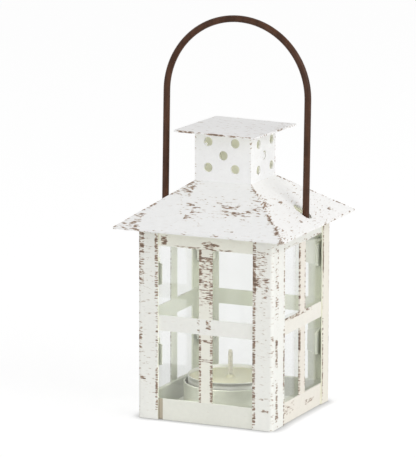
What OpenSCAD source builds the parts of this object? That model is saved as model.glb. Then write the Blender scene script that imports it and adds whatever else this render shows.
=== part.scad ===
// Small candle lantern in painted sheet metal. Four glazed sides stand on a tray, a hipped roof with
// a vented chimney lifts up the legs of a wire bail, and a tealight sits in a round cup inside.
// Millimetres, +Z up, origin at the middle of the base, front towards -Y.

/* [Body] */
// Outside width of the square body, across its corner posts
body_w = 64; // [60:0.5:68]
// Thickness of the body's painted sheet
sheet_t = 0.6; // [0.5:0.05:0.7]
// Width of the front posts' legs on the front
post_leg = 9.5; // [8.5:0.1:11]
// Width of the back posts' legs on the back
back_leg = 10.7; // [8.5:0.1:12]
// Width of the front posts' legs on the left and right sides
front_side_leg = 13.2; // [9:0.1:14]
// Width of the back posts' legs on the left and right sides
back_side_leg = 8.4; // [8:0.1:14]
// Height of the bottom rails
bottom_rail_h = 9.4; // [7:0.2:12]
// Gap between the front bottom rail's left end and the post beside it
rail_end_gap = 2.1; // [0:0.1:3]
// Height of the middle rails' lower edge
mid_rail_z = 39.8; // [37:0.2:44]
// Height of the middle rails themselves
mid_rail_h = 6.9; // [5:0.1:9]
// Height of the top rails' lower edge
top_rail_z = 77.6; // [74:0.2:79]
// Width of the upright glazing bars
bar_w = 6.3; // [4:0.1:9]

/* [Glass] */
// Thickness of the glass panes
glass_t = 1.2; // [1:0.1:1.4]
// Height of the panes' top edge
glass_top_z = 82.4; // [80:0.2:83]
// Height of a glass clip
clip_h = 13; // [8:0.5:16]

/* [Roof] */
// Width of the square eave
eave_w = 80.4; // [78:0.2:84]
// Height of the eave's top edge
eave_z = 86.1; // [85:0.1:87]
// Slope of the roof, degrees
roof_pitch = 34; // [32:0.5:36]
// Thickness of the roof, chimney and cap sheet
roof_t = 0.8; // [0.6:0.05:1]
// Outside width of the square chimney
chimney_w = 26.7; // [24:0.1:30]
// Width of the square cap plate
cap_w = 39.7; // [34:0.1:42]
// Height of the cap's top face
cap_top_z = 126.6; // [124:0.2:130]
// Turn of the cap on its chimney, degrees
cap_turn = -4; // [-6:0.5:6]
// Diameter of the vent holes
vent_d = 4.1; // [2:0.1:4.6]

/* [Bail] */
// Overall height, to the top of the bail's arch
overall_h = 175.4; // [168:0.2:180]
// Diameter of the bail's wire
wire_d = 3; // [2.4:0.1:3.1]
// Gap between the body's sides and the bail's legs
bail_gap = 0.1; // [0.1:0.05:0.4]
// How far the bail leans back at rest, degrees
bail_lean = 1.7; // [0:0.1:1.7]

/* [Candle] */
// Outside diameter of the candle cup's rim
cup_d = 41.2; // [40.4:0.2:44]
// Height of the candle cup's rim above the ground
cup_rim_z = 12.9; // [9:0.1:14]
// Sideways place of the candle cup on the tray
cup_x = -1.8; // [-2:0.1:2]
// Diameter of the tealight
tealight_d = 38; // [37:0.1:38.2]
// Height of the tealight's aluminium cup
tealight_h = 14.6; // [13:0.1:16]
// Length of the wick that stands above the wax
wick_free = 12.7; // [5:0.1:14]

/* [Hidden] */
$fn = 96;
CREAM = [0.93, 0.92, 0.88];
GLASS = [0.82, 0.90, 0.86, 0.35];
BROWN = [0.29, 0.18, 0.13];
ALUMINIUM = [0.78, 0.79, 0.80];
WAX = [0.95, 0.94, 0.90];

half_w = body_w / 2;
// Both legs of each post: first the one towards the next corner anticlockwise, front left post first
post_legs = [
    [post_leg, front_side_leg],
    [front_side_leg, post_leg],
    [back_leg, back_side_leg],
    [back_side_leg, back_leg]
];
// The side windows' bars stand in the middle between unequal legs
side_bar_y = (front_side_leg - back_side_leg) / 2;
bar_shift = [0, side_bar_y, 0, -side_bar_y];
// Outer radius of the posts' bend
post_bend_r = 1.4;
// Sheet layers from the outside in: posts, then rails and bars, then the tray's flange, then glass
rail_out = half_w - sheet_t;
rail_in = rail_out - sheet_t;
// The rails stop short of the posts' bends, where the stems of the glass clips pass
rail_half = rail_out - 1.65;
flange_half = rail_in - 2;
fit_gap = 0.05;
glass_out = rail_in - sheet_t - fit_gap;
glass_in = glass_out - glass_t;
glass_half = glass_in - 0.8;

// The roof's slopes rest on the body's rim, which centres them
half_eave = eave_w / 2;
half_chimney = chimney_w / 2;
seat_gap = 0.2;
roof_rise = tan(roof_pitch);
roof_drop = roof_t / cos(roof_pitch);
rim_z = eave_z + (half_eave - half_w) * roof_rise - roof_drop - seat_gap;
chimney_foot_z = eave_z + (half_eave - half_chimney) * roof_rise - roof_drop;
cap_bottom_z = cap_top_z - roof_t;
slope_len = eave_w;
slot_w = 5.9;
slot_len = 9.6;
// Distance between the middles of the bail's legs
bail_span = body_w + wire_d + 2 * bail_gap;
// Distance up the slope from the eave to the middle of the slot's lower round end
slot_low = (half_eave - bail_span / 2) / cos(roof_pitch) - 0.1;
// Vent holes, punched by hand: one in the middle and four around it. For each wall, how far apart the four
// are from the middle of the set, that middle's shift along the wall and upwards, and the middle hole's own
// shift along the wall.
vent_dz = 5.7;
vent_sets = [
    [6.4, -0.6, 1.0, 0.8],
    [7.1, 2.0, -0.1, -1.0],
    [6.4, 0.6, 0.4, -0.5],
    [6.7, -1.2, 0.5, 0.6]
];

// Bail: hooked ends turn in holes in the side rails, hidden under the eave
pivot_z = 85;
wire_r = wire_d / 2;
hook_play = 0.1;
bend_r = 2;
hook_end = rail_in - 3.6;
arch_r = bail_span / 2;
// The arch stands higher before it leans, so that its top reaches the overall height
arch_z = pivot_z + (overall_h - pivot_z - wire_r) / cos(bail_lean) - arch_r;

// Glass clips: for each corner, the height of both clips and how far their two wings reach past the
// post's legs
clip_spots = [
    [[28.5, 0.7, 2.2], [64.5, 0.7, 2.2]],
    [[28.5, 2.2, -0.5], [64.5, 2.2, -0.5]],
    [[27.5, -0.8, 2.2], [67.6, 2.2, 2.2]],
    [[28.5, -0.5, -0.5], [64.5, -0.5, -0.5]]
];
clip_slant = 2;
clip_out = glass_in - fit_gap;
stem_h = 5;

// Candle
cup_t = 0.6;
cup_r = cup_d / 2;
cup_bead = 0.35;
foil_t = 0.4;
tealight_r = tealight_d / 2;
tealight_z = sheet_t + cup_t + fit_gap;
tealight_rim_z = tealight_z + tealight_h;
wax_top_z = tealight_rim_z - 1.75;
foil_floor_z = tealight_z + foil_t;
sustainer_r = 6;
sustainer_t = 0.4;
wick_r = 1.1;
wick_neck_r = 2;
wick_neck_h = 1.4;

// Turns a piece made for the front, or for the front left corner, to one of the four sides:
// 0 front, 1 right, 2 back, 3 left.
module side(n) {
    rotate([0, 0, 90 * n]) children();
}

// An upright plate on the front side, between two distances from the axis, of half width hw.
module front_plate(out, in, hw, z0, z1) {
    translate([-hw, -out, z0]) cube([2 * hw, out - in, z1 - z0]);
}

// Square floor with an upturned flange on each side and notched corners.
module base_tray() {
    color(CREAM) {
        translate([-flange_half, -flange_half, 0])
            cube([2 * flange_half, 2 * flange_half, sheet_t]);
        for (n = [0:3]) side(n) {
            front_plate(rail_in, flange_half, flange_half, 0, sheet_t);
            front_plate(rail_in, rail_in - sheet_t, flange_half, 0, bottom_rail_h - 0.3);
        }
    }
}

// L-section corner post, outside the rails.
module post(n) {
    r = post_bend_r;
    color(CREAM) side(n) translate([-half_w, -half_w, 0]) linear_extrude(rim_z) {
        translate([r, 0]) square([post_legs[n][0] - r, sheet_t]);
        translate([0, r]) square([sheet_t, post_legs[n][1] - r]);
        intersection() {
            square(r);
            translate([r, r]) difference() {
                circle(r);
                circle(r - sheet_t);
            }
        }
    }
}

// Front bottom rail: its left end stops short of the post and leaves the tray's flange showing.
module short_rail() {
    left_end = half_w - post_leg - rail_end_gap;
    color(CREAM) translate([-left_end, -rail_out, 0])
        cube([left_end + rail_half, sheet_t, bottom_rail_h]);
}

// Whole rail of one side wall, between two heights.
module plain_rail(n, z0, z1) {
    color(CREAM) side(n) front_plate(rail_out, rail_in, rail_half, z0, z1);
}

// Top rail of a side wall, with the hole that the bail's hook turns in.
module pivot_rail(n) {
    color(CREAM) difference() {
        side(n) front_plate(rail_out, rail_in, rail_half, top_rail_z, rim_z);
        translate([0, 0, pivot_z]) rotate([0, 90, 0])
            cylinder(r = wire_r + hook_play, h = body_w + 2, center = true);
    }
}

// Upright bar in two lengths, between the three rails and flush with them.
module glazing_bar(n) {
    color(CREAM) side(n) translate([bar_shift[n], 0, 0]) {
        front_plate(rail_out, rail_in, bar_w / 2, bottom_rail_h, mid_rail_z);
        front_plate(rail_out, rail_in, bar_w / 2, mid_rail_z + mid_rail_h, top_rail_z);
    }
}

module glass(n) {
    color(GLASS) side(n) front_plate(glass_out, glass_in, glass_half, sheet_t, glass_top_z);
}

// One wing of a clip: a tab against the pane's inner face, with slanted ends. Its tip stands past a leg of
// width leg.
module clip_wing(leg, past) {
    clip_reach = half_w - leg - past;
    translate([0, -clip_out + sheet_t, 0]) rotate([90, 0, 0]) linear_extrude(sheet_t)
        polygon([
            [-clip_out, -clip_h / 2],
            [-clip_reach, clip_slant - clip_h / 2],
            [-clip_reach, clip_h / 2 - clip_slant],
            [-clip_out, clip_h / 2]
        ]);
}

// Two bent clips in one corner. Each holds the edges of both panes that meet there, and its stem runs
// out between the panes to the inside of the post.
module glass_clips(n) {
    stem_near = (clip_out - sheet_t) * sqrt(2);
    stem_far = (half_w - post_bend_r) * sqrt(2) + sqrt(pow(post_bend_r - sheet_t, 2) - pow(sheet_t / 2, 2));
    color(CREAM) side(n) for (spot = clip_spots[n]) translate([0, 0, spot[0]]) {
        clip_wing(post_legs[n][0], spot[1]);
        mirror([1, -1, 0]) clip_wing(post_legs[n][1], spot[2]);
        rotate([0, 0, 225]) translate([stem_near, -sheet_t / 2, -stem_h / 2])
            cube([stem_far - stem_near, sheet_t, stem_h]);
    }
}

// Low round cup with a beaded rim, fixed to the tray.
module candle_cup() {
    color(CREAM) translate([cup_x, 0, 0]) rotate_extrude() {
        translate([0, sheet_t]) square([cup_r, cup_t]);
        translate([cup_r - cup_t, sheet_t]) square([cup_t, cup_rim_z - sheet_t - cup_bead]);
        translate([cup_r - cup_t / 2, cup_rim_z - cup_bead]) circle(cup_bead);
    }
}

// Thin aluminium cup with a small lip.
module tealight_cup() {
    color(ALUMINIUM) translate([cup_x, 0, 0]) rotate_extrude() {
        translate([0, tealight_z]) square([tealight_r - 0.3, foil_t]);
        translate([tealight_r - 0.3 - foil_t, tealight_z]) square([foil_t, tealight_h]);
        translate([tealight_r - 0.3 - foil_t, tealight_rim_z - foil_t]) square([0.3 + foil_t, foil_t]);
    }
}

// Wax fill: a short neck of wax climbs the wick, and the sustainer sits in a recess below.
module tealight_wax() {
    wax_r = tealight_r - 0.3 - foil_t - fit_gap;
    color(WAX) translate([cup_x, 0, 0]) rotate_extrude() polygon([
        [sustainer_r + fit_gap, foil_floor_z],
        [wax_r, foil_floor_z],
        [wax_r, wax_top_z + 0.3],
        [wax_r - 0.6, wax_top_z],
        [wick_neck_r + 1.5, wax_top_z],
        [wick_neck_r, wax_top_z + 0.3],
        [wick_r + 0.3, wax_top_z + wick_neck_h],
        [wick_r + fit_gap, wax_top_z + wick_neck_h],
        [wick_r + fit_gap, foil_floor_z + sustainer_t + fit_gap],
        [sustainer_r + fit_gap, foil_floor_z + sustainer_t + fit_gap]
    ]);
}

// Round wick with a domed end.
module tealight_wick() {
    wick_z = foil_floor_z + sustainer_t;
    wick_len = wax_top_z + wick_free - wick_z;
    color(WAX) translate([cup_x, 0, wick_z]) {
        cylinder(r = wick_r, h = wick_len - wick_r);
        translate([0, 0, wick_len - wick_r]) sphere(r = wick_r);
    }
}

// Small tin disc that holds the wick upright on the cup's floor.
module wick_sustainer() {
    color(ALUMINIUM) translate([cup_x, 0, foil_floor_z]) cylinder(r = sustainer_r, h = sustainer_t);
}

// One slope of the roof: a plate at the roof's pitch, mitred along the hips and cut at the chimney.
module roof_slope(n, slotted) {
    color(CREAM) side(n) intersection() {
        translate([0, 0, rim_z - 10]) linear_extrude(cap_top_z - rim_z) polygon([
            [-half_eave, -half_eave],
            [half_eave, -half_eave],
            [half_chimney, -half_chimney],
            [-half_chimney, -half_chimney]
        ]);
        translate([0, -half_eave, eave_z]) rotate([roof_pitch, 0, 0]) difference() {
            translate([-half_eave, -roof_t, -roof_t]) cube([eave_w, slope_len, roof_t]);
            if (slotted) bail_slot();
        }
    }
}

// Slot with round ends, punched square through the slope. Its length runs up the slope.
module bail_slot() {
    straight = slot_len - slot_w;
    translate([0, slot_low, -roof_t - 1]) {
        cylinder(d = slot_w, h = roof_t + 2);
        translate([0, straight, 0]) cylinder(d = slot_w, h = roof_t + 2);
        translate([-slot_w / 2, 0, 0]) cube([slot_w, straight, roof_t + 2]);
    }
}

// Five vent holes through one wall of the chimney.
module vent_holes(n) {
    dx = vent_sets[n][0];
    mid_z = (chimney_foot_z + roof_drop + cap_bottom_z) / 2 + vent_sets[n][2];
    spots = [[vent_sets[n][3], 0], [-dx, -vent_dz], [dx, -vent_dz], [-dx, vent_dz], [dx, vent_dz]];
    side(n) for (p = spots)
        translate([p[0] + vent_sets[n][1], -half_chimney - 1, mid_z + p[1]]) rotate([-90, 0, 0])
            cylinder(d = vent_d, h = roof_t + 2);
}

// Square tube between the slopes' upper edges, open below and closed above by the cap.
module chimney() {
    tube_h = cap_bottom_z - chimney_foot_z;
    bore = chimney_w - 2 * roof_t;
    color(CREAM) difference() {
        translate([-half_chimney, -half_chimney, chimney_foot_z]) cube([chimney_w, chimney_w, tube_h]);
        translate([-bore / 2, -bore / 2, chimney_foot_z - 1]) cube([bore, bore, tube_h + 2]);
        for (n = [0:3]) vent_holes(n);
    }
}

module chimney_cap() {
    color(CREAM) rotate([0, 0, cap_turn]) translate([-cap_w / 2, -cap_w / 2, cap_bottom_z])
        cube([cap_w, cap_w, roof_t]);
}

// One leg of the bail, its bend and its hooked end, on the +X side.
module bail_leg() {
    translate([arch_r, 0, pivot_z + bend_r]) cylinder(r = wire_r, h = arch_z - pivot_z - bend_r);
    translate([arch_r - bend_r, 0, pivot_z + bend_r]) rotate([-90, 0, 0])
        rotate_extrude(angle = 90) translate([bend_r, 0]) circle(wire_r);
    translate([hook_end, 0, pivot_z]) rotate([0, 90, 0])
        cylinder(r = wire_r, h = arch_r - bend_r - hook_end);
}

// Bent wire handle: a round arch on two legs, leaning back about its hooked ends.
module bail() {
    color(BROWN) translate([0, 0, pivot_z]) rotate([-bail_lean, 0, 0]) translate([0, 0, -pivot_z]) {
        translate([0, 0, arch_z]) rotate([90, 0, 0])
            rotate_extrude(angle = 180) translate([arch_r, 0]) circle(wire_r);
        bail_leg();
        mirror([1, 0, 0]) bail_leg();
    }
}

base_tray();
post(0);  // post_front_left
post(1);  // post_front_right
post(2);  // post_back_right
post(3);  // post_back_left
plain_rail(0, top_rail_z, rim_z);  // top_rail_front
pivot_rail(1);  // top_rail_right
plain_rail(2, top_rail_z, rim_z);  // top_rail_back
pivot_rail(3);  // top_rail_left
plain_rail(0, mid_rail_z, mid_rail_z + mid_rail_h);  // mid_rail_front
plain_rail(1, mid_rail_z, mid_rail_z + mid_rail_h);  // mid_rail_right
plain_rail(2, mid_rail_z, mid_rail_z + mid_rail_h);  // mid_rail_back
plain_rail(3, mid_rail_z, mid_rail_z + mid_rail_h);  // mid_rail_left
short_rail();  // bottom_rail_front
plain_rail(1, 0, bottom_rail_h);  // bottom_rail_right
plain_rail(2, 0, bottom_rail_h);  // bottom_rail_back
plain_rail(3, 0, bottom_rail_h);  // bottom_rail_left
glazing_bar(0);  // glazing_bar_front
glazing_bar(1);  // glazing_bar_right
glazing_bar(2);  // glazing_bar_back
glazing_bar(3);  // glazing_bar_left
glass(0);  // glass_front
glass(1);  // glass_right
glass(2);  // glass_back
glass(3);  // glass_left
glass_clips(0);  // glass_clips_front_left
glass_clips(1);  // glass_clips_front_right
glass_clips(2);  // glass_clips_back_right
glass_clips(3);  // glass_clips_back_left
candle_cup();
tealight_cup();
tealight_wax();
tealight_wick();
wick_sustainer();
roof_slope(0, false);  // roof_slope_front
roof_slope(1, true);  // roof_slope_right
roof_slope(2, false);  // roof_slope_back
roof_slope(3, true);  // roof_slope_left
chimney();
chimney_cap();
bail();
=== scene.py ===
import math
import random

import bmesh
import bpy
from mathutils import Matrix, Vector

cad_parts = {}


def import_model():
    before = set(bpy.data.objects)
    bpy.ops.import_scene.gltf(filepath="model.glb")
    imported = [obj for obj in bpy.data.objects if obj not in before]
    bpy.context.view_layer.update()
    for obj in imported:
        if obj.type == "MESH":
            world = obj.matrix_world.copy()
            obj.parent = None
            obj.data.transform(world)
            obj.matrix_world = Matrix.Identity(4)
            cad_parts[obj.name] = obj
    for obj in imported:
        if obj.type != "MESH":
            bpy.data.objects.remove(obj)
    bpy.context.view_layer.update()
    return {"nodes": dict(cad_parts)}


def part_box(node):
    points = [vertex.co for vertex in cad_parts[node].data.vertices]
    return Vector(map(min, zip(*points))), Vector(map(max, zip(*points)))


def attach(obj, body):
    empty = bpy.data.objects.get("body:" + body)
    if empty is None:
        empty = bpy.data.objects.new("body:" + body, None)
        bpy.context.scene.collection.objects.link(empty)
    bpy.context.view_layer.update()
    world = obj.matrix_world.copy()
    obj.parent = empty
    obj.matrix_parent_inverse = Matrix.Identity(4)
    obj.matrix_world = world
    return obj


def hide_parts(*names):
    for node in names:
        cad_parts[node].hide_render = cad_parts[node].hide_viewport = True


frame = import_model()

# Small candle lantern in distressed off-white metal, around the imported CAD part. Objects, lamps and the
# camera are placed in metres. Wear marks, textures, bevels and vent scraps are given in millimetres.

MM = 0.001
X, Y, Z = range(3)

# Camera, from the perspective fit: angles in radians, distances in metres, lens and sensor in millimetres
AZIMUTH = 0.4195
ELEVATION = 0.2029
ROLL = 0.0024
DISTANCE = 2.0562
TARGET_HEIGHT = 0.08121
TARGET_SIDE = -0.01182
LENS = 369.3
SENSOR_WIDTH = 36.0
FARTHEST = 20.0

# The lantern's outer faces, in millimetres from its middle, and the cap's turn in degrees
HALF = 32.0
EAVE_HALF = 40.2
CHIMNEY_HALF = 13.35
CAP_HALF = 19.85
CAP_TURN = -4.0
SIDES = ("front", "right", "back", "left")

# Paint, linear. The inside colours are those of faces that look into the lantern or down, and each is painted
# light or painted shade: a paler or darker copy of the paint that stands in for the light inside.
CREAM = (0.83, 0.83, 0.79)
SLOPE_FRONT = (0.845, 0.845, 0.842)
SLOPE_SIDE = (0.86, 0.855, 0.845)
CAP_WHITE = (0.84, 0.835, 0.83)
CHIMNEY_WHITE = (0.86, 0.86, 0.86)
# Painted light: the tray's cream is paler than the rest to lift its shade
TRAY_CREAM_LIT = (0.93, 0.93, 0.85)
CLIP_GREY = (0.78, 0.79, 0.68)
# Painted light: a paler, greener copy of the cream that lifts the shade on faces inside the lantern and under
# its sheets
INSIDE_LIT = (0.88, 0.88, 0.73)
# Painted shade on the top rails' inner faces
RIM_INSIDE_SHADE = (0.64, 0.635, 0.53)
# Painted shade on the slopes' undersides and inside the chimney
ROOF_INSIDE_SHADE = (0.68, 0.68, 0.58)
# Painted light on the tray's inner faces
TRAY_INSIDE_LIT = (0.94, 0.94, 0.82)
# Painted shade on the clips' inner faces
CLIP_INSIDE_SHADE = (0.50, 0.51, 0.44)

# What shows where the paint is worn: thin paint round a mark, the mark, and its dark middle
THIN_PAINT = (0.62, 0.56, 0.48)
BROWN = (0.34, 0.24, 0.175)
DARK_BROWN = (0.11, 0.072, 0.052)

# The other materials, linear. A pair is the two ends of a mottled colour.
WIRE = (0.086, 0.036, 0.018)
WIRE_FLECK = (0.16, 0.085, 0.05)
GLASS = (0.935, 0.94, 0.935)
GLASS_SHADOW = (0.88, 0.90, 0.89)
FOIL = ((0.88, 0.87, 0.84), (0.95, 0.95, 0.93))
TIN = ((0.55, 0.54, 0.52), (0.72, 0.72, 0.71))
# Painted shade: the wax is coloured darker than its own colour, to even out the light on it inside the
# lantern
WAX_SHADED = ((0.45, 0.44, 0.32), (0.50, 0.49, 0.365))
COTTON = ((0.50, 0.47, 0.39), (0.60, 0.58, 0.50))
# Painted shade and light on the candle cup: a green-grey wall that pales towards its foot
CUP_SHADED_PAINT = ((0.56, 0.57, 0.48), (0.63, 0.64, 0.55))
CUP_FOOT_LIGHT = (0.78, 0.79, 0.70)
WHITE = (1.0, 1.0, 1.0)
FLOOR_SEEN = (0.30, 0.30, 0.30)
FLOOR_LIT = (0.80, 0.80, 0.79)


def shade(colour, factor):
    return tuple(min(1.0, c * factor) for c in colour)


# ---------------------------------------------------------------- node helpers

class Net:
    """A short way to write the node tree of a material or a world."""

    # Nearly all of a noise texture's values lie between these
    NOISE_LOW, NOISE_HIGH = 0.30, 0.70

    def __init__(self, owner, output="ShaderNodeOutputMaterial"):
        owner.use_nodes = True
        self.owner = owner
        self.tree = owner.node_tree
        self.tree.nodes.clear()
        self.out = self.tree.nodes.new(output)

    @classmethod
    def material(cls, name):
        return cls(bpy.data.materials.new(name))

    def put(self, socket, value):
        """Links a socket to another one or sets its value. One number fills a whole colour or vector."""
        if isinstance(value, bpy.types.NodeSocket):
            self.tree.links.new(value, socket)
            return
        if hasattr(socket.default_value, "__len__"):
            value = tuple(value) if hasattr(value, "__len__") else (value,) * 3
            if len(socket.default_value) == 4 and len(value) == 3:
                value += (1.0,)
        socket.default_value = value

    def node(self, kind, inputs=None, **props):
        n = self.tree.nodes.new(kind)
        for key, value in props.items():
            setattr(n, key, value)
        for key, value in (inputs or {}).items():
            self.put(n.inputs[key], value)
        return n

    def math(self, op, a, b):
        return self.node("ShaderNodeMath", {0: a, 1: b}, operation=op).outputs[0]

    def absolute(self, value):
        return self.node("ShaderNodeMath", {0: value}, operation="ABSOLUTE").outputs[0]

    def largest(self, first, *others):
        for other in others:
            first = self.math("MAXIMUM", first, other)
        return first

    def vec(self, op, a, b=(0.0, 0.0, 0.0)):
        return self.node("ShaderNodeVectorMath", {0: a, 1: b}, operation=op).outputs["Vector"]

    def dot(self, a, b):
        return self.node("ShaderNodeVectorMath", {0: a, 1: b}, operation="DOT_PRODUCT").outputs["Value"]

    def split(self, v):
        return self.node("ShaderNodeSeparateXYZ", {0: v}).outputs

    def ramp(self, value, lo, hi, to_lo=0.0, to_hi=1.0, smooth=False):
        """The range lo to hi turned into to_lo to to_hi, and held at its ends."""
        kind = "SMOOTHSTEP" if smooth else "LINEAR"
        inputs = dict(enumerate((value, lo, hi, to_lo, to_hi)))
        return self.node("ShaderNodeMapRange", inputs, interpolation_type=kind).outputs[0]

    def spread(self, noise, to_lo=0.0, to_hi=1.0):
        """A noise stretched over the whole of a range."""
        return self.ramp(noise, self.NOISE_LOW, self.NOISE_HIGH, to_lo, to_hi)

    def mix(self, fac, a, b):
        """Colour a where fac is 0 and b where it is 1: inputs 6 and 7 of a Mix node, and its output 2."""
        return self.node("ShaderNodeMix", {0: fac, 6: a, 7: b}, data_type="RGBA").outputs[2]

    def choose(self, fac, first, second):
        """The first shader where fac is 0 and the second where it is 1."""
        return self.node("ShaderNodeMixShader", {0: fac, 1: first, 2: second}).outputs[0]

    def noise(self, vector, scale=1.0, detail=2.0, rough=0.5):
        inputs = {"Vector": vector, "Scale": scale, "Detail": detail, "Roughness": rough}
        return self.node("ShaderNodeTexNoise", inputs).outputs[0]

    def point(self):
        """The point on the piece, in millimetres."""
        coords = self.node("ShaderNodeTexCoord").outputs["Object"]
        n = self.node("ShaderNodeVectorMath", {0: coords, "Scale": 1.0 / MM}, operation="SCALE")
        return n.outputs["Vector"]

    def normal(self):
        return self.node("ShaderNodeTexCoord").outputs["Normal"]

    def bump(self, height, distance, strength=1.0):
        inputs = {"Height": height, "Distance": distance * MM, "Strength": strength}
        return self.node("ShaderNodeBump", inputs).outputs[0]

    def seen(self):
        """1 for the rays that make the picture: straight, by a mirror or through glass."""
        path = self.node("ShaderNodeLightPath").outputs
        return self.largest(path["Is Camera Ray"], path["Is Glossy Ray"], path["Is Transmission Ray"])

    def surface(self, **values):
        """Ends the tree with a Principled shader. Its sockets' names are written with _ for a space."""
        inputs = {key.replace("_", " "): value for key, value in values.items()}
        return self.finish(self.node("ShaderNodeBsdfPrincipled", inputs).outputs[0])

    def finish(self, shader):
        """Ends the tree with a shader and gives back the material or world."""
        self.tree.links.new(shader, self.out.inputs[0])
        return self.owner


def dress(obj, mat):
    obj.data.materials.clear()
    obj.data.materials.append(mat)


def bevel(obj, width):
    """Rounds a piece's edges by a width in millimetres."""
    mod = obj.modifiers.new("edge", "BEVEL")
    mod.width = width * MM
    mod.segments = 2
    mod.limit_method = "ANGLE"
    mod.angle_limit = math.radians(40)


def add(name, data):
    """A new object in the scene."""
    obj = bpy.data.objects.new(name, data)
    bpy.context.scene.collection.objects.link(obj)
    return obj


# ---------------------------------------------------------------- distressed paint

# How far apart the noise of two neighbouring seeds lies
SEED_STEP = (17.3, 9.1, 13.7)

# Where a face counts as an inner one: its outward distance, in millimetres, and its normal's height
FACES_IN = (-6.0, -12.0)
FACES_DOWN = (-0.3, -0.6)

# A chance of wear is raised to a power, and clouds of a broad noise leave between these shares of it
CHANCE_POWER = 1.5
CLOUD_SHARE = (0.55, 0.92)

# Ranges of wear over which the bare metal, the thin paint round it and its dark middle come in. The last two
# also have their least and greatest share.
BARE = (0.0, 0.18)
HALO = (-0.14, 0.06, 0.0, 0.4)
CORE = (0.16, 0.50, 0.0, 0.9)

# The paint's own clouds: its tone's darkest and lightest shade
SHADES = (0.975, 1.02)

# Roughness of paint and of bare metal
PAINT_ROUGHNESS = (0.52, 0.72)


def patch(net, point, spec):
    """How far a point lies inside one patch, times the patch's strength. spec is its centre, half size,
    strength, and soft edge as a share of its size."""
    centre, half, strength, soft = spec
    away = net.vec("ABSOLUTE", net.vec("SUBTRACT", point, centre))
    far = net.largest(*net.split(net.vec("DIVIDE", away, half))[:3])
    return net.ramp(far, 1.0 + soft, 1.0, 0.0, strength)


def inner_faces(net, point):
    """1 on faces that look towards the lantern's middle or down, and 0 on the outer ones. These faces take
    the inside colour, which is painted light or painted shade.
    """
    outward = net.dot(net.vec("MULTIPLY", point, (1.0, 1.0, 0.0)), net.normal())
    under = net.ramp(net.split(net.normal())[Z], *FACES_DOWN)
    return net.largest(net.ramp(outward, *FACES_IN), under)


def wear_chance(net, point, patches, speckle, more):
    """The largest chance of wear that the speckle, a patch or a function gives a point."""
    chances = [patch(net, point, spec) for spec in patches]
    if more:
        chances.append(more(net, point))
    return net.largest(speckle, *chances)


def worn_through(net, chance, shifted, streak, inward):
    """Above 0 in the worn strokes. They are long where streak is small, and gather in broad clouds."""
    strokes = net.spread(net.noise(net.vec("MULTIPLY", shifted, streak), detail=2.5, rough=0.55))
    broad = net.spread(net.noise(shifted, 0.16, 2.0))
    share = net.ramp(broad, 0.0, 1.0, *CLOUD_SHARE)
    chance = net.math("MULTIPLY", net.math("POWER", chance, CHANCE_POWER), share)
    chance = net.math("MULTIPLY", chance, net.math("SUBTRACT", 1.0, inward))
    return net.math("SUBTRACT", net.math("ADD", strokes, chance), 1.0)


def paint(name, patches, streak, seed, tone=CREAM, speckle=0.0, inside=INSIDE_LIT, tints=(), more=None):
    """Off-white paint, worn through to brown in strokes. patches, speckle and the function more raise the
    chance of wear, streak scales the strokes' noise, inside is the colour of the inner faces, a painted light
    or painted shade copy of the paint, and tints is a list of patches with the colour that each one has."""
    net = Net.material(name)
    point = net.point()
    shifted = net.vec("ADD", point, [seed * step for step in SEED_STEP])
    inward = inner_faces(net, point)
    worn = worn_through(net, wear_chance(net, point, patches, speckle, more), shifted, streak, inward)
    bare = net.ramp(worn, *BARE, smooth=True)

    clouds = net.spread(net.noise(shifted, 0.45, 4.0, 0.6))
    base = net.mix(clouds, *(shade(tone, factor) for factor in SHADES))
    for spec, colour in tints:
        base = net.mix(patch(net, point, spec), base, colour)
    # The inner faces take the inside colour, painted light or painted shade
    coat = net.mix(net.ramp(worn, *HALO), net.mix(inward, base, inside), THIN_PAINT)
    metal = net.mix(net.ramp(worn, *CORE), BROWN, DARK_BROWN)
    colour = net.mix(bare, coat, metal)

    grain = net.noise(shifted, 3.2, 3.0, 0.6)
    height = net.math("SUBTRACT", net.math("MULTIPLY", grain, 0.25), net.math("MULTIPLY", bare, 0.6))
    return net.surface(Base_Color=colour, Roughness=net.ramp(bare, 0.0, 1.0, *PAINT_ROUGHNESS),
                       Normal=net.bump(height, 0.05, 0.6))


# ---------------------------------------------------------------- body

# Stretches the noise so that the worn strokes run across the upright strips
UPRIGHT = (0.38, 0.38, 1.75)

# Bevels of the strips, the other sheets, and the clips and chimney, in millimetres
STRIP_BEVEL = 0.16
SHEET_BEVEL = 0.12
FINE_BEVEL = 0.10

STRIPS = ("post_", "glazing_bar_", "mid_rail_", "top_rail_", "bottom_rail_")

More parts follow.
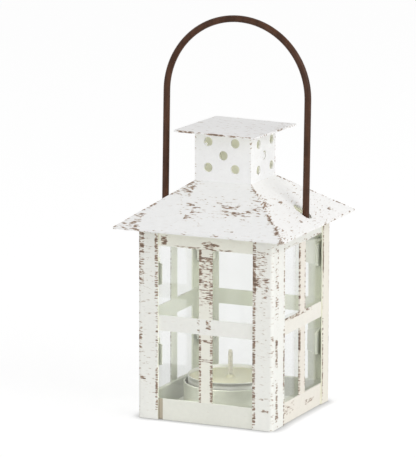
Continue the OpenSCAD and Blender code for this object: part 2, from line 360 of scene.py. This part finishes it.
# Wear that the photo shows on the front and right sides: node, then centre, half size and strength of each
# mark. A front mark's two lengths are along x and z, and a right mark's along y and z.
FRONT_WEAR = {
    "post_front_left": [
        ((-31.5, 73.5), (2.0, 12.0), 0.84), ((-31.5, 37.0), (1.4, 5.5), 0.76),
        ((-23.0, 71.0), (0.9, 15.0), 0.86), ((-22.8, 15.0), (0.7, 9.0), 0.90),
        ((-22.9, 42.0), (0.6, 12.0), 0.72), ((-29.8, 18.2), (1.2, 0.7), 0.84),
        ((-27.5, 40.0), (4.5, 42.0), 0.30),
    ],
    "glazing_bar_front": [
        ((-2.9, 70.0), (0.8, 8.0), 0.86), ((0.3, 73.6), (2.8, 0.6), 0.95),
        ((0.2, 69.6), (3.0, 3.0), 0.82), ((0.2, 60.5), (3.1, 6.6), 0.72),
        ((2.6, 64.0), (0.8, 12.0), 0.84), ((2.6, 50.0), (0.6, 3.0), 0.60),
        ((-2.8, 24.0), (0.6, 14.5), 0.93), ((2.8, 24.0), (0.6, 14.5), 0.90),
        ((0.3, 36.8), (2.4, 0.5), 0.9), ((0.3, 28.3), (2.0, 0.5), 0.85),
    ],
    "post_front_right": [
        ((23.0, 73.0), (0.9, 12.0), 0.98), ((22.9, 54.0), (0.8, 10.0), 0.92),
        ((22.9, 23.0), (0.8, 18.0), 0.92), ((26.4, 71.5), (2.8, 7.0), 0.76),
        ((28.0, 61.0), (1.2, 2.4), 0.70), ((27.0, 14.0), (3.6, 0.4), 0.70),
        ((28.6, 8.4), (1.3, 0.7), 0.74), ((26.5, 52.0), (4.0, 28.0), 0.36),
    ],
    "top_rail_front": [
        ((-9.0, 77.9), (5.0, 0.4), 0.85), ((9.6, 77.9), (4.0, 0.4), 0.80),
        ((-19.9, 80.2), (1.2, 1.8), 0.85), ((2.0, 79.3), (3.6, 1.5), 0.80),
    ],
    "mid_rail_front": [((1.3, 44.6), (1.0, 1.6), 0.84), ((-3.4, 43.5), (0.5, 3.2), 0.6)],
}
RIGHT_WEAR = {
    "post_front_right": [
        ((-27.6, 34.0), (1.0, 5.2), 1.05), ((-27.4, 12.0), (0.9, 8.0), 0.86),
        ((-27.3, 5.6), (1.4, 1.2), 0.95), ((-19.4, 28.0), (0.7, 11.0), 0.95),
        ((-19.2, 5.0), (0.7, 5.0), 0.85), ((-27.3, 66.0), (1.4, 14.0), 0.66),
        ((-19.4, 66.0), (0.6, 12.0), 0.80),
    ],
    "glazing_bar_right": [
        ((-0.4, 66.0), (0.5, 12.0), 0.85), ((-0.4, 33.6), (0.7, 4.0), 1.05),
        ((-0.4, 18.5), (0.6, 11.0), 0.80), ((5.2, 60.0), (0.5, 14.0), 0.72),
        ((5.2, 24.0), (0.5, 13.0), 0.66),
    ],
    "mid_rail_right": [((-4.0, 46.2), (13.0, 0.6), 0.85)],
    "post_back_right": [
        ((23.9, 70.0), (0.8, 10.0), 1.05), ((23.8, 19.0), (0.8, 13.0), 0.92),
        ((23.9, 46.0), (0.5, 14.0), 0.66), ((31.4, 50.0), (0.8, 36.0), 0.76),
    ],
    "bottom_rail_right": [((-12.0, 6.0), (5.0, 2.2), 0.60), ((10.0, 4.6), (5.0, 0.8), 0.7)],
    "top_rail_right": [((0.0, 78.0), (20.0, 0.5), 0.66)],
}

# Pieces coloured a little darker or warmer than the rest. On the front top rail this is painted shade under
# the eave, and on the back right post painted shade on its right face.
TONES_AND_SHADE = {
    "top_rail_front": (0.85, 0.845, 0.765),
    "bottom_rail_front": (0.765, 0.765, 0.70),
    "glazing_bar_front": (0.81, 0.80, 0.72),
    "glazing_bar_right": (0.78, 0.735, 0.66),
    "mid_rail_right": (0.80, 0.775, 0.71),
    "bottom_rail_right": (0.785, 0.75, 0.68),
    "post_back_right": (0.785, 0.75, 0.67),
}

# How deep a listed mark reaches round a corner, in millimetres
WEAR_DEPTH = 1.2

# Soft edges of the patches as a share of their size: listed marks, edges of bars and rails, posts' edges,
# marks on the slopes, and the chimney's corners
MARK_SOFT = 0.7
STRIP_SOFT = 1.6
POST_SOFT = 1.2
SLOPE_SOFT = 0.6
CHIMNEY_SOFT = 1.5

# A half size that takes in the whole lantern
EVERYWHERE = 400.0

# Strength of the wear along the edges of posts and bars that the photo shows and of the others, along the
# back and left rails, and on the posts' outer corners
POST_EDGE_SEEN, POST_EDGE_UNSEEN = 0.58, 0.74
BAR_EDGE_SEEN, BAR_EDGE_UNSEEN = 0.55, 0.72
RAIL_EDGE = 0.60
POST_CORNER = 0.50

# The outer face of the right side, where the back right post carries a painted shade, and the brown strip of
# the tray's flange beside the front left post
RIGHT_FACE = ((HALF, 0.0, 44.0), (0.6, 40.0, 60.0), 1.0, 0.3)
FLANGE_STRIP = ((-20.4, -31.0, 5.0), (2.6, 2.0, 9.0), 1.0, 0.05)
FLANGE_BROWN = (0.50, 0.44, 0.35)


def scattered(net, point):
    """Chance of wear in loose clusters, for the sides whose marks aren't listed."""
    return net.ramp(net.noise(point, 0.085, 1.0), 0.50, 0.70, 0.0, 0.80)


def listed_marks(name):
    """The listed wear of one node, turned into patches in space."""
    found = []
    for (x, z), (half_x, half_z), strength in FRONT_WEAR.get(name, ()):
        found.append(((x, -HALF, z), (half_x, WEAR_DEPTH, half_z), strength, MARK_SOFT))
    for (y, z), (half_y, half_z), strength in RIGHT_WEAR.get(name, ()):
        found.append(((HALF, y, z), (WEAR_DEPTH, half_y, half_z), strength, MARK_SOFT))
    return found


def strip_edges(lo, hi, along, across, strength, width):
    """Wear along both long edges of a bar or rail. along and across are axis numbers."""
    found = []
    for end in (lo, hi):
        centre = [(lo[i] + hi[i]) / 2 for i in range(3)]
        half = [EVERYWHERE] * 3
        centre[across] = end[across]
        half[across] = width
        half[along] = (hi[along] - lo[along]) / 2 + 1
        found.append((tuple(centre), tuple(half), strength, STRIP_SOFT))
    return found


def post_edges(name, lo, hi):
    """Wear on a post's corner and on the free edges of its two legs."""
    sign_x = 1 if "right" in name else -1
    sign_y = 1 if "back" in name else -1
    edge_x = lo[X] if sign_x > 0 else hi[X]
    edge_y = lo[Y] if sign_y > 0 else hi[Y]
    middle = (lo[Z] + hi[Z]) / 2
    tall = (hi[Z] - lo[Z]) / 2
    edge = POST_EDGE_UNSEEN if name == "post_back_left" else POST_EDGE_SEEN
    return [((edge_x, sign_y * HALF, middle), (0.7, 3.0, tall), edge, POST_SOFT),
            ((sign_x * HALF, edge_y, middle), (3.0, 0.7, tall), edge, POST_SOFT),
            ((sign_x * HALF, sign_y * HALF, middle), (0.9, 0.9, tall), POST_CORNER, POST_SOFT)]


def strip_wear(name, lo, hi):
    """All wear of one post, bar or rail, apart from scattered clusters."""
    side = name.rsplit("_", 1)[1]
    found = listed_marks(name)
    if name.startswith("glazing_bar_"):
        across = X if side in ("front", "back") else Y
        strength = BAR_EDGE_SEEN if side in ("front", "right") else BAR_EDGE_UNSEEN
        found += strip_edges(lo, hi, Z, across, strength, width=0.6)
    elif name.startswith("post_"):
        found += post_edges(name, lo, hi)
    elif side in ("back", "left"):
        found += strip_edges(lo, hi, Y if side == "left" else X, Z, RAIL_EDGE, width=0.5)
    return found


def mm_box(node):
    lo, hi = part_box(node)
    return [c / MM for c in lo], [c / MM for c in hi]


def paint_strip(obj, name, seed):
    """One post, bar or rail. The back right post carries a painted shade on its right face alone."""
    tone, tints = TONES_AND_SHADE.get(name, CREAM), []
    if name == "post_back_right":
        tone, tints = CREAM, [(RIGHT_FACE, tone)]
    # Painted shade on the top rails' inner faces, and painted light on the other strips' inner faces
    inside = RIM_INSIDE_SHADE if name.startswith("top_rail_") else INSIDE_LIT
    unlisted = name.endswith(("_back", "_left")) and name != "post_front_left"
    mat = paint("paint_" + name, strip_wear(name, *mm_box(name)), UPRIGHT, seed, tone, inside=inside,
                tints=tints, more=scattered if unlisted else None)
    dress(obj, mat)
    bevel(obj, STRIP_BEVEL)


def paint_body(nodes):
    """The posts, bars and rails, the tray and the glass clips."""
    strips = [name for name in nodes if name.startswith(STRIPS)]
    for seed, name in enumerate(strips, 1):
        paint_strip(nodes[name], name, seed)
    # The tray's paler colours are painted light
    tray = paint("paint_tray", [], UPRIGHT, seed=31, tone=TRAY_CREAM_LIT, speckle=0.06, inside=TRAY_INSIDE_LIT,
                 tints=[(FLANGE_STRIP, FLANGE_BROWN)])
    dress(nodes["base_tray"], tray)
    bevel(nodes["base_tray"], SHEET_BEVEL)
    # The clips' inner faces take a painted shade
    clip = paint("paint_clips", [], UPRIGHT, seed=33, tone=CLIP_GREY, speckle=0.12, inside=CLIP_INSIDE_SHADE)
    for name in nodes:
        if name.startswith("glass_clips_"):
            dress(nodes[name], clip)
            bevel(nodes[name], FINE_BEVEL)


# ---------------------------------------------------------------- roof, cap and chimney

# Strength of the wear on the hips and along the eave
HIP_WEAR = 1.0
EAVE_WEAR = 0.72

# Stretches the noise: strokes along x or y on the slopes, along x on the cap, and level on the chimney
ALONG_X = (0.36, 1.25, 1.5)
ALONG_Y = (1.25, 0.36, 1.5)
CAP_STREAK = (0.30, 1.1, 1.0)
CHIMNEY_STREAK = (0.5, 0.5, 1.4)

# Middle and half height of the patches on the slopes and on the chimney, in millimetres
SLOPE_HEIGHT = (93.0, 40.0)
CHIMNEY_HEIGHT = (114.5, 11.0)

# Wear on the chimney's corners: signs of x and y, half width and strength
CHIMNEY_CORNERS = ((1, -1, 0.5, 0.52), (-1, 1, 0.6, 0.55), (1, 1, 0.6, 0.50), (-1, -1, 0.4, 0.50))

# Wear that the photo shows on the front and right slopes, seen from above: centre, half size, strength
ROOF_MARKS = {
    "front": [
        ((-10.0, -25.8), (2.0, 0.7), 0.82), ((-6.2, -28.6), (1.8, 1.8), 0.84),
        ((-8.5, -32.2), (1.4, 0.8), 0.86), ((8.8, -25.6), (3.4, 0.7), 0.84),
        ((12.0, -28.6), (4.4, 0.9), 0.96), ((13.6, -37.0), (2.0, 0.6), 0.66),
        ((10.0, -26.5), (9.0, 5.0), 0.44), ((-8.0, -28.0), (6.0, 6.0), 0.42),
        ((22.0, -24.0), (4.5, 4.5), 0.60), ((39.2, -39.2), (1.0, 1.0), 0.95),
        ((-17.4, -17.6), (5.4, 3.6), 0.72), ((-35.5, -36.5), (6.0, 4.0), 0.74),
    ],
    "right": [
        ((25.1, -7.5), (0.6, 1.6), 0.86), ((33.6, -13.1), (0.6, 1.4), 0.78),
        ((35.6, -9.9), (0.6, 1.0), 0.80), ((24.1, 10.5), (0.7, 1.2), 0.82),
        ((35.8, 22.4), (0.7, 1.8), 0.84), ((30.0, 0.0), (9.0, 22.0), 0.38),
        ((20.0, -20.0), (4.0, 4.0), 0.74), ((35.0, -34.0), (4.0, 4.0), 0.66),
    ],
}


def cap_edge(net, point):
    """Chance of wear along the turned cap's edges, strongest on the front one, where the dark line is partly
    wear and partly painted shade on the sheet's edge.
    """
    x, y = net.split(point)[:2]
    cos, sin = math.cos(math.radians(CAP_TURN)), math.sin(math.radians(CAP_TURN))
    along = net.math("ADD", net.math("MULTIPLY", x, cos), net.math("MULTIPLY", y, sin))
    away = net.math("SUBTRACT", net.math("MULTIPLY", y, cos), net.math("MULTIPLY", x, sin))
    reach = net.largest(net.absolute(along), net.absolute(away))
    edge = net.ramp(reach, CAP_HALF - 0.9, CAP_HALF - 0.1)
    front = net.ramp(away, 1.0 - CAP_HALF, 0.2 - CAP_HALF, 0.66, 1.05)
    broken = net.ramp(net.noise(point, 0.20, 2.0), 0.36, 0.56, 0.6, 1.0)
    return net.math("MULTIPLY", net.math("MULTIPLY", edge, front), broken)


def hip_and_eave(net, point):
    """Chance of wear near the hips, where |x| = |y|, and along the eave's edge, both broken up by a noise."""
    x, y = net.split(net.vec("ABSOLUTE", point))[:2]
    flat = net.vec("MULTIPLY", point, (1.0, 1.0, 0.0))
    broken = net.ramp(net.noise(flat, 0.22, 2.0), 0.36, 0.62)
    near_hip = net.ramp(net.absolute(net.math("SUBTRACT", x, y)), 0.4, 3.4, HIP_WEAR, 0.0)
    near_eave = net.ramp(net.largest(x, y), EAVE_HALF - 1.0, EAVE_HALF - 0.1, 0.0, EAVE_WEAR)
    hip = net.math("MULTIPLY", near_hip, net.ramp(broken, 0.0, 1.0, 0.45, 1.0))
    return net.largest(hip, net.math("MULTIPLY", near_eave, broken))


def worn_slope(net, point):
    """Hip and eave wear with loose clusters over the slope."""
    return net.largest(hip_and_eave(net, point), scattered(net, point))


def paint_slope(obj, side, seed):
    """One slope, worn along its hips and its eave and in faint strokes over its face."""
    middle, tall = SLOPE_HEIGHT
    patches = [((x, y, middle), (half_x, half_y, tall), strength, SLOPE_SOFT)
               for (x, y), (half_x, half_y), strength in ROOF_MARKS.get(side, ())]
    wear = hip_and_eave if side in ROOF_MARKS else worn_slope
    tone, streak = (SLOPE_FRONT, ALONG_X) if side in ("front", "back") else (SLOPE_SIDE, ALONG_Y)
    # The slope's underside colour is painted shade
    dress(obj, paint("paint_roof_slope_" + side, patches, streak, seed, tone, speckle=0.14,
                     inside=ROOF_INSIDE_SHADE, more=wear))
    bevel(obj, SHEET_BEVEL)


def paint_roof(nodes):
    """The slopes, the cap and the chimney."""
    for seed, side in enumerate(SIDES, 40):
        paint_slope(nodes["roof_slope_" + side], side, seed)
    cap = paint("paint_cap", [], CAP_STREAK, seed=50, tone=CAP_WHITE, speckle=0.30, more=cap_edge)
    dress(nodes["chimney_cap"], cap)
    bevel(nodes["chimney_cap"], SHEET_BEVEL)
    middle, tall = CHIMNEY_HEIGHT
    corners = [((sign_x * CHIMNEY_HALF, sign_y * CHIMNEY_HALF, middle), (half, half, tall), strength,
                CHIMNEY_SOFT) for sign_x, sign_y, half, strength in CHIMNEY_CORNERS]
    # The chimney's inside colour is painted shade
    tower = paint("paint_chimney", corners, CHIMNEY_STREAK, seed=52, tone=CHIMNEY_WHITE, inside=ROOF_INSIDE_SHADE)
    dress(nodes["chimney"], tower)
    bevel(nodes["chimney"], FINE_BEVEL)


# ---------------------------------------------------------------- glass, wire, candle

def glass_material():
    """Clear pane that lets the lamps' light through to what stands behind it."""
    net = Net.material("pane_glass")
    waves = net.noise(net.point(), 0.035, 1.0)
    pane = net.node("ShaderNodeBsdfPrincipled", {
        "Base Color": GLASS, "Roughness": 0.015, "IOR": 1.46, "Transmission Weight": 1.0,
        "Normal": net.bump(waves, 0.08, 0.25)})
    clear = net.node("ShaderNodeBsdfTransparent", {"Color": GLASS_SHADOW})
    shadow = net.node("ShaderNodeLightPath").outputs["Is Shadow Ray"]
    return net.finish(net.choose(shadow, pane.outputs[0], clear.outputs[0]))


def wire_material():
    """Dark brown enamelled wire with lighter flecks."""
    net = Net.material("bail_wire")
    point = net.point()
    blotch = net.noise(net.vec("MULTIPLY", point, (0.8, 0.8, 0.25)), 0.5, 3.0)
    colour = net.mix(net.ramp(blotch, 0.35, 0.65), WIRE, shade(WIRE, 0.55))
    fleck = net.ramp(net.noise(point, 2.4, 2.0), 0.66, 0.74)
    colour = net.mix(net.math("MULTIPLY", fleck, 0.5), colour, WIRE_FLECK)
    grain = net.noise(point, 1.6, 2.0)
    return net.surface(Base_Color=colour, Roughness=net.spread(blotch, 0.26, 0.38),
                       Normal=net.bump(grain, 0.06, 0.5), Specular_IOR_Level=0.17)


def foil_material():
    """Pressed aluminium, brushed round its wall."""
    net = Net.material("tealight_foil")
    scratch = net.noise(net.vec("MULTIPLY", net.point(), (0.6, 0.6, 6.0)), 1.0, 3.0)
    return net.surface(Base_Color=net.mix(scratch, *FOIL), Metallic=1.0,
                       Roughness=net.spread(scratch, 0.44, 0.56), Normal=net.bump(scratch, 0.05, 0.5))


def tin_material():
    net = Net.material("sustainer_tin")
    grain = net.noise(net.point(), 1.8, 3.0)
    return net.surface(Base_Color=net.mix(grain, *TIN), Metallic=1.0,
                       Roughness=net.spread(grain, 0.3, 0.45), Normal=net.bump(grain, 0.04, 0.5))


def wax_material():
    """Wax with a faint bloom, that lets light in a little way. Its colour is darker than the wax's own, as
    painted shade.
    """
    net = Net.material("candle_wax")
    point = net.point()
    bloom = net.noise(point, 0.35, 4.0, 0.6)
    return net.surface(Base_Color=net.mix(net.spread(bloom), *WAX_SHADED), Roughness=net.spread(bloom, 0.36, 0.5),
                       Subsurface_Weight=0.35, Subsurface_Radius=(1.0, 0.8, 0.5), Subsurface_Scale=2.0 * MM,
                       Normal=net.bump(net.noise(point, 1.1, 2.0), 0.08, 0.5))


def wick_material():
    net = Net.material("wick_cotton")
    fibres = net.noise(net.vec("MULTIPLY", net.point(), (7.0, 7.0, 2.0)), 1.0, 3.0)
    return net.surface(Base_Color=net.mix(net.spread(fibres), *COTTON), Roughness=0.8, Sheen_Weight=0.2,
                       Normal=net.bump(fibres, 0.08, 0.8))


def cup_material():
    """The candle cup's paint, darker up the wall and paler towards its foot: painted shade and painted light.
    """
    net = Net.material("candle_cup_shaded_paint")
    point = net.point()
    clouds = net.noise(point, 0.4, 4.0, 0.6)
    foot = net.ramp(net.split(point)[Z], 11.0, 6.0)
    colour = net.mix(foot, net.mix(net.spread(clouds), *CUP_SHADED_PAINT), CUP_FOOT_LIGHT)
    return net.surface(Base_Color=colour, Roughness=net.spread(clouds, 0.32, 0.42),
                       Normal=net.bump(net.noise(point, 1.5, 2.0), 0.04, 0.4))


# ---------------------------------------------------------------- pieces made here

# The plaited wick: a strand's radius as a share of the wick's, its turns over the height, and points along it
STRAND_SHARE = 0.34
WICK_TURNS = 4.2
STRAND_POINTS = 72

# The pressed cup: sheet, lip and flutes' depth in metres, number of flutes, and vertices round it
CUP_SKIN = 0.3 * MM
CUP_LIP = 0.28 * MM
FLUTE_DEPTH = 0.10 * MM
FLUTES = 72
CUP_STEPS = 288

# A vent scrap: vertices round it, and its rings' share of the radius and depth in millimetres
SCRAP_STEPS = 40
SCRAP_RINGS = ((0.45, 0.24), (0.85, 0.17), (1.0, 0.10), (1.0, -0.10), (0.85, -0.13), (0.45, -0.06))


def smooth(mesh):
    for polygon in mesh.polygons:
        polygon.use_smooth = True


def mesh_from(name, bm):
    """A named mesh from a bmesh, with its faces turned outwards."""
    bmesh.ops.recalc_face_normals(bm, faces=bm.faces)
    mesh = bpy.data.meshes.new(name)
    bm.to_mesh(mesh)
    bm.free()
    return mesh


def join_rings(bm, rings):
    """Faces between neighbouring rings of vertices. A ring of one vertex closes an end."""
    for a, b in zip(rings, rings[1:]):
        steps = max(len(a), len(b))
        for k in range(steps):
            j = (k + 1) % steps
            if len(a) == 1:
                corners = (a[0], b[j], b[k])
            elif len(b) == 1:
                corners = (a[k], a[j], b[0])
            else:
                corners = (a[k], a[j], b[j], b[k])
            bm.faces.new(corners)


def add_strand(curve, middle, radius, low, high, direction, start):
    """One strand, which winds round the wick's middle and closes in at its tip."""
    spline = curve.splines.new("POLY")
    spline.points.add(STRAND_POINTS - 1)
    for i in range(STRAND_POINTS):
        t = i / (STRAND_POINTS - 1)
        phase = direction * WICK_TURNS * 2 * math.pi * t + start * 2 * math.pi / 3
        weave = 0.10 * radius * math.sin(3 * phase)
        taper = 1.0 - 0.45 * max(0.0, (t - 0.93) / 0.07) ** 2
        r = (radius - radius * STRAND_SHARE * 1.12 + weave * 0.5) * taper
        spline.points[i].co = (middle.x + r * math.cos(phase), middle.y + r * math.sin(phase),
                               low + (high - low) * t, 1.0)


def braided_wick(node):
    """Plaited cotton wick in the CAD wick's place: three strands that wind each way."""
    lo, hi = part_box(node)
    middle = Vector(((lo.x + hi.x) / 2, (lo.y + hi.y) / 2, 0.0))
    radius = (hi.x - lo.x) / 2
    curve = bpy.data.curves.new("plaited_wick", "CURVE")
    curve.dimensions = "3D"
    curve.bevel_depth = radius * STRAND_SHARE
    curve.bevel_resolution = 2
    for direction in (-1, 1):
        for start in range(3):
            add_strand(curve, middle, radius, lo.z, hi.z - 0.25 * MM, direction, start)
    strands = add("plaited_wick", curve)
    mesh = bpy.data.meshes.new_from_object(strands.evaluated_get(bpy.context.evaluated_depsgraph_get()))
    bpy.data.objects.remove(strands)
    smooth(mesh)
    return add("plaited_wick", mesh)


def cup_profile(outer, floor_z, top_z):
    """Radius, height and share of the flutes' depth: from the middle of the floor's underside up the outside,
    over the rolled lip and down the inside."""
    wall = outer - 0.3 * MM
    raised = floor_z + 0.25 * MM
    inner = wall - CUP_SKIN
    side_low, side_high = floor_z + 0.9 * MM, top_z - 2.2 * MM
    points = [(0.0, raised, 0), (wall * 0.72, raised, 0), (wall * 0.78, floor_z, 0),
              (wall - 1.2 * MM, floor_z, 0), (wall - 0.3 * MM, raised, 0.5), (wall, side_low, 1)]
    for i in range(1, 9):
        points.append((wall, side_low + (side_high - side_low) * i / 8, 1 if i < 8 else 0.3))
    for i in range(9):
        angle = math.radians(-100 + 30 * i)
        points.append((outer - CUP_LIP + CUP_LIP * math.cos(angle),
                       top_z - CUP_LIP + CUP_LIP * math.sin(angle), 0))
    points += [(inner, top_z - 0.8 * MM, 0), (inner, floor_z + CUP_SKIN + 0.6 * MM, 0.3),
               (inner - 0.6 * MM, floor_z + CUP_SKIN, 0), (0.0, floor_z + CUP_SKIN + 0.1 * MM, 0)]
    return points


def cup_ring(bm, cx, cy, radius, z, depth):
    """One ring of the cup's vertices, fluted by a share of the flutes' depth, or its middle vertex."""
    if radius == 0.0:
        return [bm.verts.new((cx, cy, z))]
    ring = []
    for k in range(CUP_STEPS):
        a = 2 * math.pi * k / CUP_STEPS
        r = radius - FLUTE_DEPTH * depth * (0.5 - 0.5 * math.cos(FLUTES * a))
        ring.append(bm.verts.new((cx + r * math.cos(a), cy + r * math.sin(a), z)))
    return ring


def spun_cup(node):
    """Pressed aluminium cup in the CAD cup's place, with a rolled lip and shallow flutes round the wall."""
    lo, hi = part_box(node)
    cx, cy = (lo.x + hi.x) / 2, (lo.y + hi.y) / 2
    bm = bmesh.new()
    profile = cup_profile((hi.x - lo.x) / 2, lo.z, hi.z)
    join_rings(bm, [cup_ring(bm, cx, cy, *point) for point in profile])
    mesh = mesh_from("pressed_foil_cup", bm)
    smooth(mesh)
    return add("pressed_foil_cup", mesh)


def scrap_ring(bm, place, radius, depth, along, waves):
    """One ragged ring of a scrap's vertices."""
    across = [i for i in range(3) if i != along]
    ring = []
    for k in range(SCRAP_STEPS):
        a = 2 * math.pi * k / SCRAP_STEPS
        ragged = 1.0 - sum(size * (0.5 + 0.5 * math.sin(count * a + shift)) for size, count, shift in waves)
        corner = list(place)
        corner[across[0]] += radius * ragged * math.cos(a)
        corner[across[1]] += radius * ragged * math.sin(a)
        corner[along] += depth
        ring.append(bm.verts.new([c * MM for c in corner]))
    return ring


def slug(name, place, radius, along, seed):
    """A scrap of sheet that the punch left in a vent hole: a thin, slightly domed disc with a ragged edge.
    place and radius are in millimetres; along is the axis that the hole runs along."""
    rng = random.Random(seed)
    waves = [(rng.uniform(0.02, 0.05), rng.randint(2, 6), rng.uniform(0.0, 6.0)) for _ in range(3)]
    bm = bmesh.new()
    rings = [scrap_ring(bm, place, radius * share, depth, along, waves) for share, depth in SCRAP_RINGS]
    bm.faces.new(rings[0])
    bm.faces.new(list(reversed(rings[-1])))
    join_rings(bm, rings)
    piece = add(name, mesh_from(name, bm))
    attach(piece, "top")
    return piece


# ---------------------------------------------------------------- stage

# The floor: half size, gap under the lantern and reach of the contact shadow, in metres
FLOOR_HALF = 4.0
FLOOR_DROP = 0.0001
SHADOW_REACH = 0.006

# Openness of the floor in its contact shadow and clear of it, and how bright the floor shows at each
CONTACT_SHADE = (0.35, 0.95, 0.12, 0.75)

# Strength of the soft light all round, which shows at a strength of 1
WORLD_LIGHT = 0.72


def world():
    """A soft light all round, which shows as white."""
    net = Net(bpy.data.worlds.new("studio"), "ShaderNodeOutputWorld")
    light = net.node("ShaderNodeBackground", {"Color": WHITE, "Strength": WORLD_LIGHT})
    white = net.node("ShaderNodeBackground", {"Color": WHITE, "Strength": 1.0})
    bpy.context.scene.world = net.finish(net.choose(net.seen(), light.outputs[0], white.outputs[0]))


def lamp(name, place, aim, size, watts):
    """A round studio lamp."""
    data = bpy.data.lights.new(name, "AREA")
    data.shape = "DISK"
    data.size = size
    data.energy = watts
    obj = add(name, data)
    obj.location = place
    obj.rotation_euler = (Vector(aim) - Vector(place)).to_track_quat("-Z", "Y").to_euler()
    return obj


def glow(name, place, radius, watts):
    """A small soft lamp inside the body, out of sight."""
    data = bpy.data.lights.new(name, "POINT")
    data.shadow_soft_size = radius
    data.energy = watts
    obj = add(name, data)
    obj.location = place
    hide(obj)


def hide(obj):
    """Keeps a lamp out of the picture, mirrors and glass while it goes on giving light."""
    obj.visible_camera = False
    obj.visible_glossy = False
    obj.visible_transmission = False


def lights():
    """Two studio lamps, and hidden ones that give the pale inside the light that it has in the photo."""
    lamp("key", place=(1.4, -0.35, 0.66), aim=(0.0, 0.0, 0.06), size=1.5, watts=12.2)
    lamp("fill", place=(-0.25, -1.6, 0.22), aim=(0.0, 0.0, 0.05), size=1.0, watts=4.2)
    glow("inside", place=(-0.003, -0.006, 0.062), radius=0.016, watts=0.045)
    glow("inside_front", place=(-0.003, -0.0255, 0.023), radius=0.005, watts=0.012)
    hide(lamp("ceiling", place=(0.0, 0.0, 0.080), aim=(0.0, 0.0, 0.0), size=0.05, watts=0.006))
    glow("flue", place=(0.0, 0.0, 0.113), radius=0.004, watts=0.0011)


def floor_material():
    """White to the camera apart from a contact shadow, and a plain pale floor to the lamps."""
    net = Net.material("floor_white")
    near = net.node("ShaderNodeAmbientOcclusion", {"Distance": SHADOW_REACH}, samples=16).outputs["AO"]
    white = net.node("ShaderNodeEmission", {"Color": WHITE, "Strength": net.ramp(near, *CONTACT_SHADE)})
    matt = net.node("ShaderNodeBsdfDiffuse", {"Color": FLOOR_SEEN})
    shown = net.node("ShaderNodeAddShader", {0: white.outputs[0], 1: matt.outputs[0]})
    plain = net.node("ShaderNodeBsdfDiffuse", {"Color": FLOOR_LIT})
    return net.finish(net.choose(net.seen(), plain.outputs[0], shown.outputs[0]))


def floor():
    """Pale floor that shows white, apart from the lantern's contact shadow."""
    half = FLOOR_HALF
    mesh = bpy.data.meshes.new("floor")
    corners = [(-half, -half, 0), (half, -half, 0), (half, half, 0), (-half, half, 0)]
    mesh.from_pydata(corners, [], [(0, 1, 2, 3)])
    obj = add("floor", mesh)
    obj.location.z = -FLOOR_DROP
    dress(obj, floor_material())


def camera():
    """The photo's camera. Its target lies a little beside the lantern's middle."""
    right = Vector((math.cos(AZIMUTH), math.sin(AZIMUTH), 0.0))
    back = Vector((math.sin(AZIMUTH) * math.cos(ELEVATION), -math.cos(AZIMUTH) * math.cos(ELEVATION),
                   math.sin(ELEVATION)))
    up = back.cross(right)
    rolled_right = right * math.cos(ROLL) + up * math.sin(ROLL)
    rolled_up = up * math.cos(ROLL) - right * math.sin(ROLL)
    place = Vector((0.0, 0.0, TARGET_HEIGHT)) + right * TARGET_SIDE + back * DISTANCE
    data = bpy.data.cameras.new("camera")
    data.lens = LENS
    data.sensor_width = SENSOR_WIDTH
    data.clip_end = FARTHEST
    obj = add("camera", data)
    axes = Matrix((rolled_right, rolled_up, back)).transposed().to_4x4()
    obj.matrix_world = Matrix.Translation(place) @ axes
    bpy.context.scene.camera = obj


# ---------------------------------------------------------------- the scene

def scraps():
    """The scraps of sheet in two of the chimney's vent holes."""
    scrap = paint("paint_scraps", [], CHIMNEY_STREAK, seed=60, tone=CHIMNEY_WHITE, speckle=0.30)
    sunk = CHIMNEY_HALF - 0.4
    dress(slug("vent_slug_right", place=(sunk, 0.75, 114.7), radius=1.76, along=X, seed=3), scrap)
    dress(slug("vent_burr_front", place=(-8.05, -sunk, 120.65), radius=0.58, along=Y, seed=5), scrap)


def candle(nodes):
    """The candle cup and the tealight in it, with a finer foil cup and wick in the CAD pieces' places."""
    dress(nodes["candle_cup"], cup_material())
    dress(nodes["tealight_wax"], wax_material())
    dress(nodes["wick_sustainer"], tin_material())
    foil = foil_material()
    dress(nodes["tealight_cup"], foil)
    cup = spun_cup("tealight_cup")
    dress(cup, foil)
    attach(cup, "tealight")
    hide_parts("tealight_cup")
    cotton = wick_material()
    dress(nodes["tealight_wick"], cotton)
    wick = braided_wick("tealight_wick")
    dress(wick, cotton)
    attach(wick, "tealight")
    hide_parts("tealight_wick")


def main():
    nodes = frame["nodes"]
    paint_body(nodes)
    paint_roof(nodes)
    scraps()
    pane = glass_material()
    for side in SIDES:
        dress(nodes["glass_" + side], pane)
    dress(nodes["bail"], wire_material())
    candle(nodes)

    world()
    floor()
    lights()
    camera()

    scene = bpy.context.scene
    scene.view_settings.view_transform = "Standard"


main()
